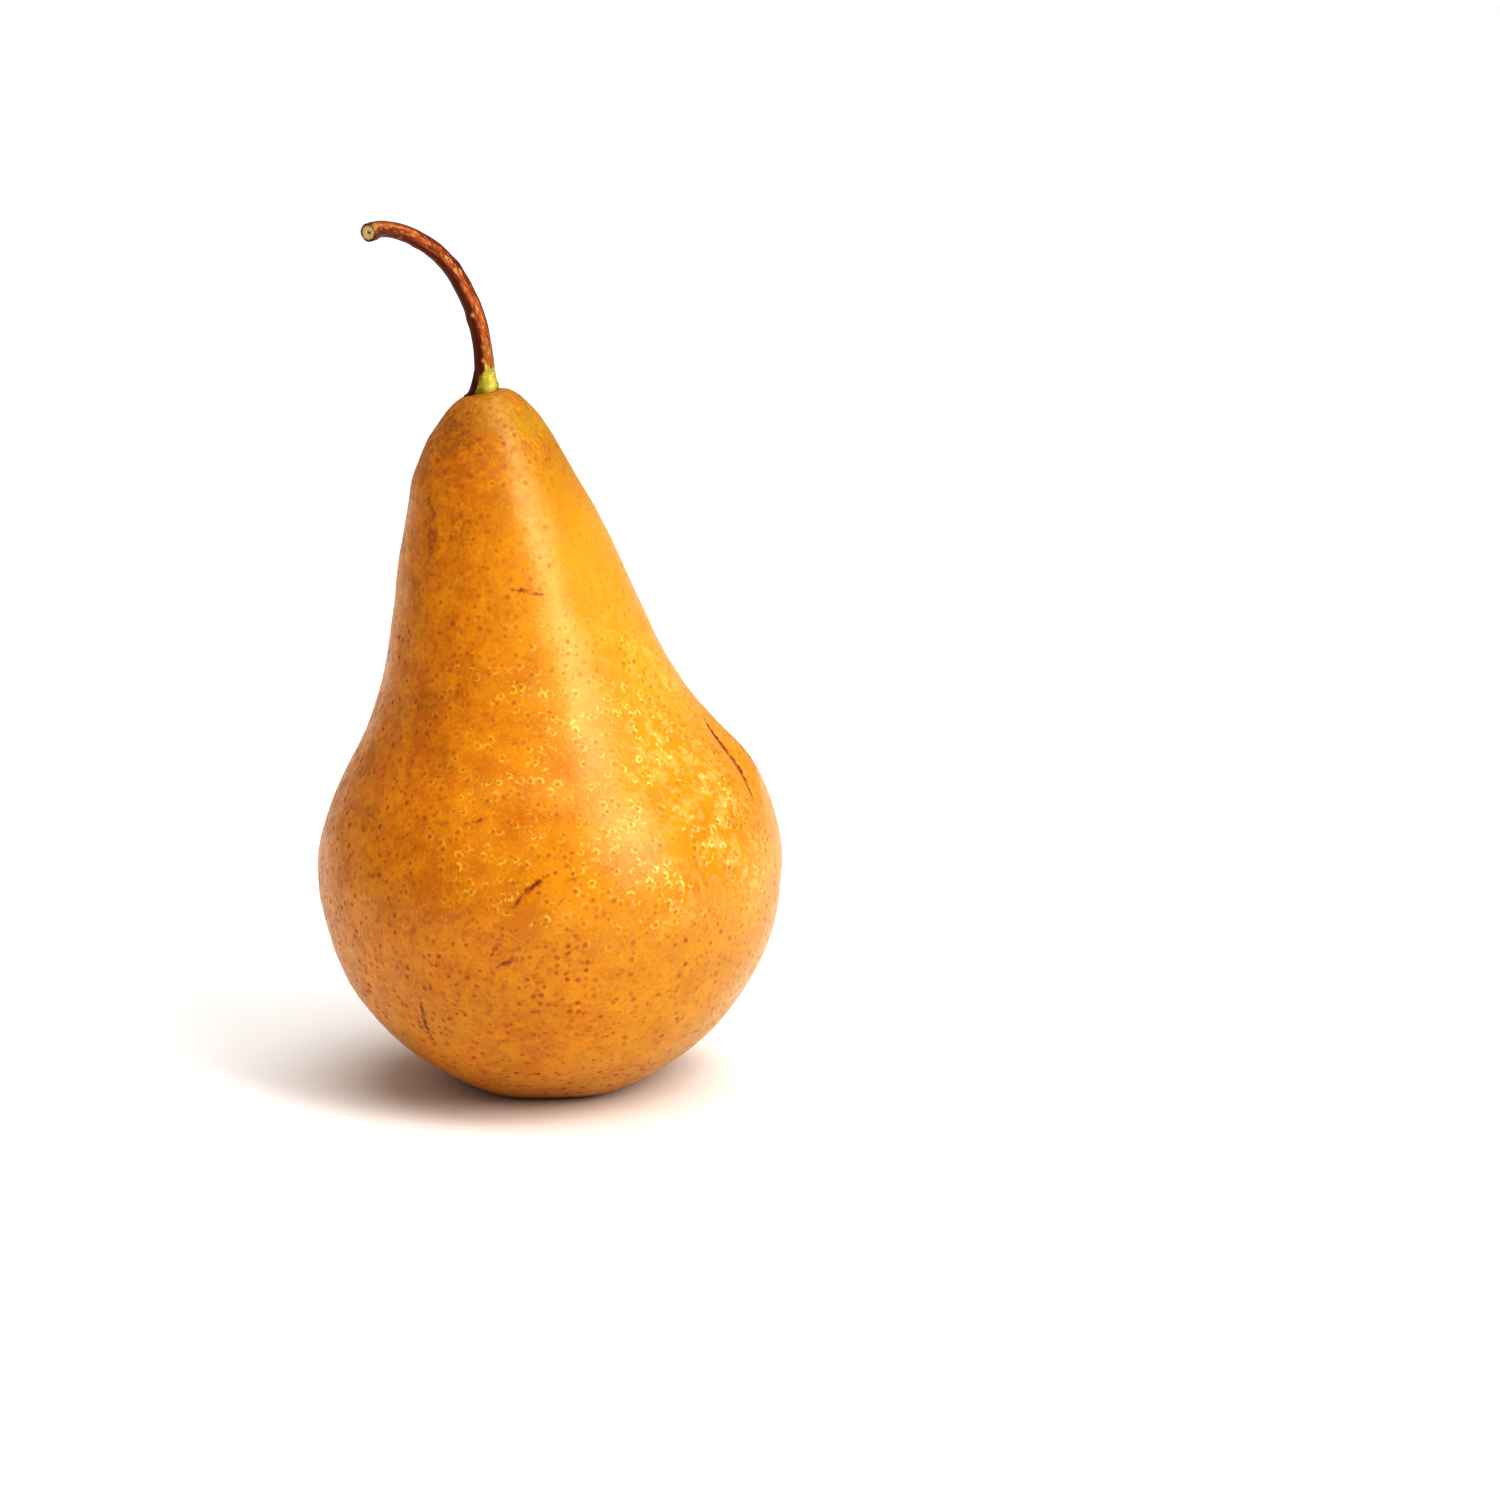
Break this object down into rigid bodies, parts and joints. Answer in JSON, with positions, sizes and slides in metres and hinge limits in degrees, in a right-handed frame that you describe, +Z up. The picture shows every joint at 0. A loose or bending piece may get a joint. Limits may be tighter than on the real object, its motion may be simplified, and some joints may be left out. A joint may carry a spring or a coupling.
{
  "type": "bosc pear",
  "caption": "Ripe Bosc pear standing on its calyx end, with a round belly, a long leaning neck, an arched woody stem and a dried calyx in the basin underneath.",
  "frame": {"origin": "on the surface that the pear stands on, under the middle of its belly", "axes": "+Z up along the fruit, from the calyx end to the stem; -Y is the side that faces the viewer in the picture; +X is that viewer's right, and the neck and stem lean towards -X"},
  "size_m": [0.072, 0.072, 0.1351],
  "materials": {
    "skin": "satin, waxy golden-brown russet fruit skin with small brown lenticels",
    "stem_bark": "satin red-brown bark",
    "dried_calyx": "matte, dry and wrinkled, almost black"
  },
  "bodies": {
    "root": {"fruit": "skin", "stem": "stem_bark", "calyx": "dried_calyx"}
  },
  "joints": []
}
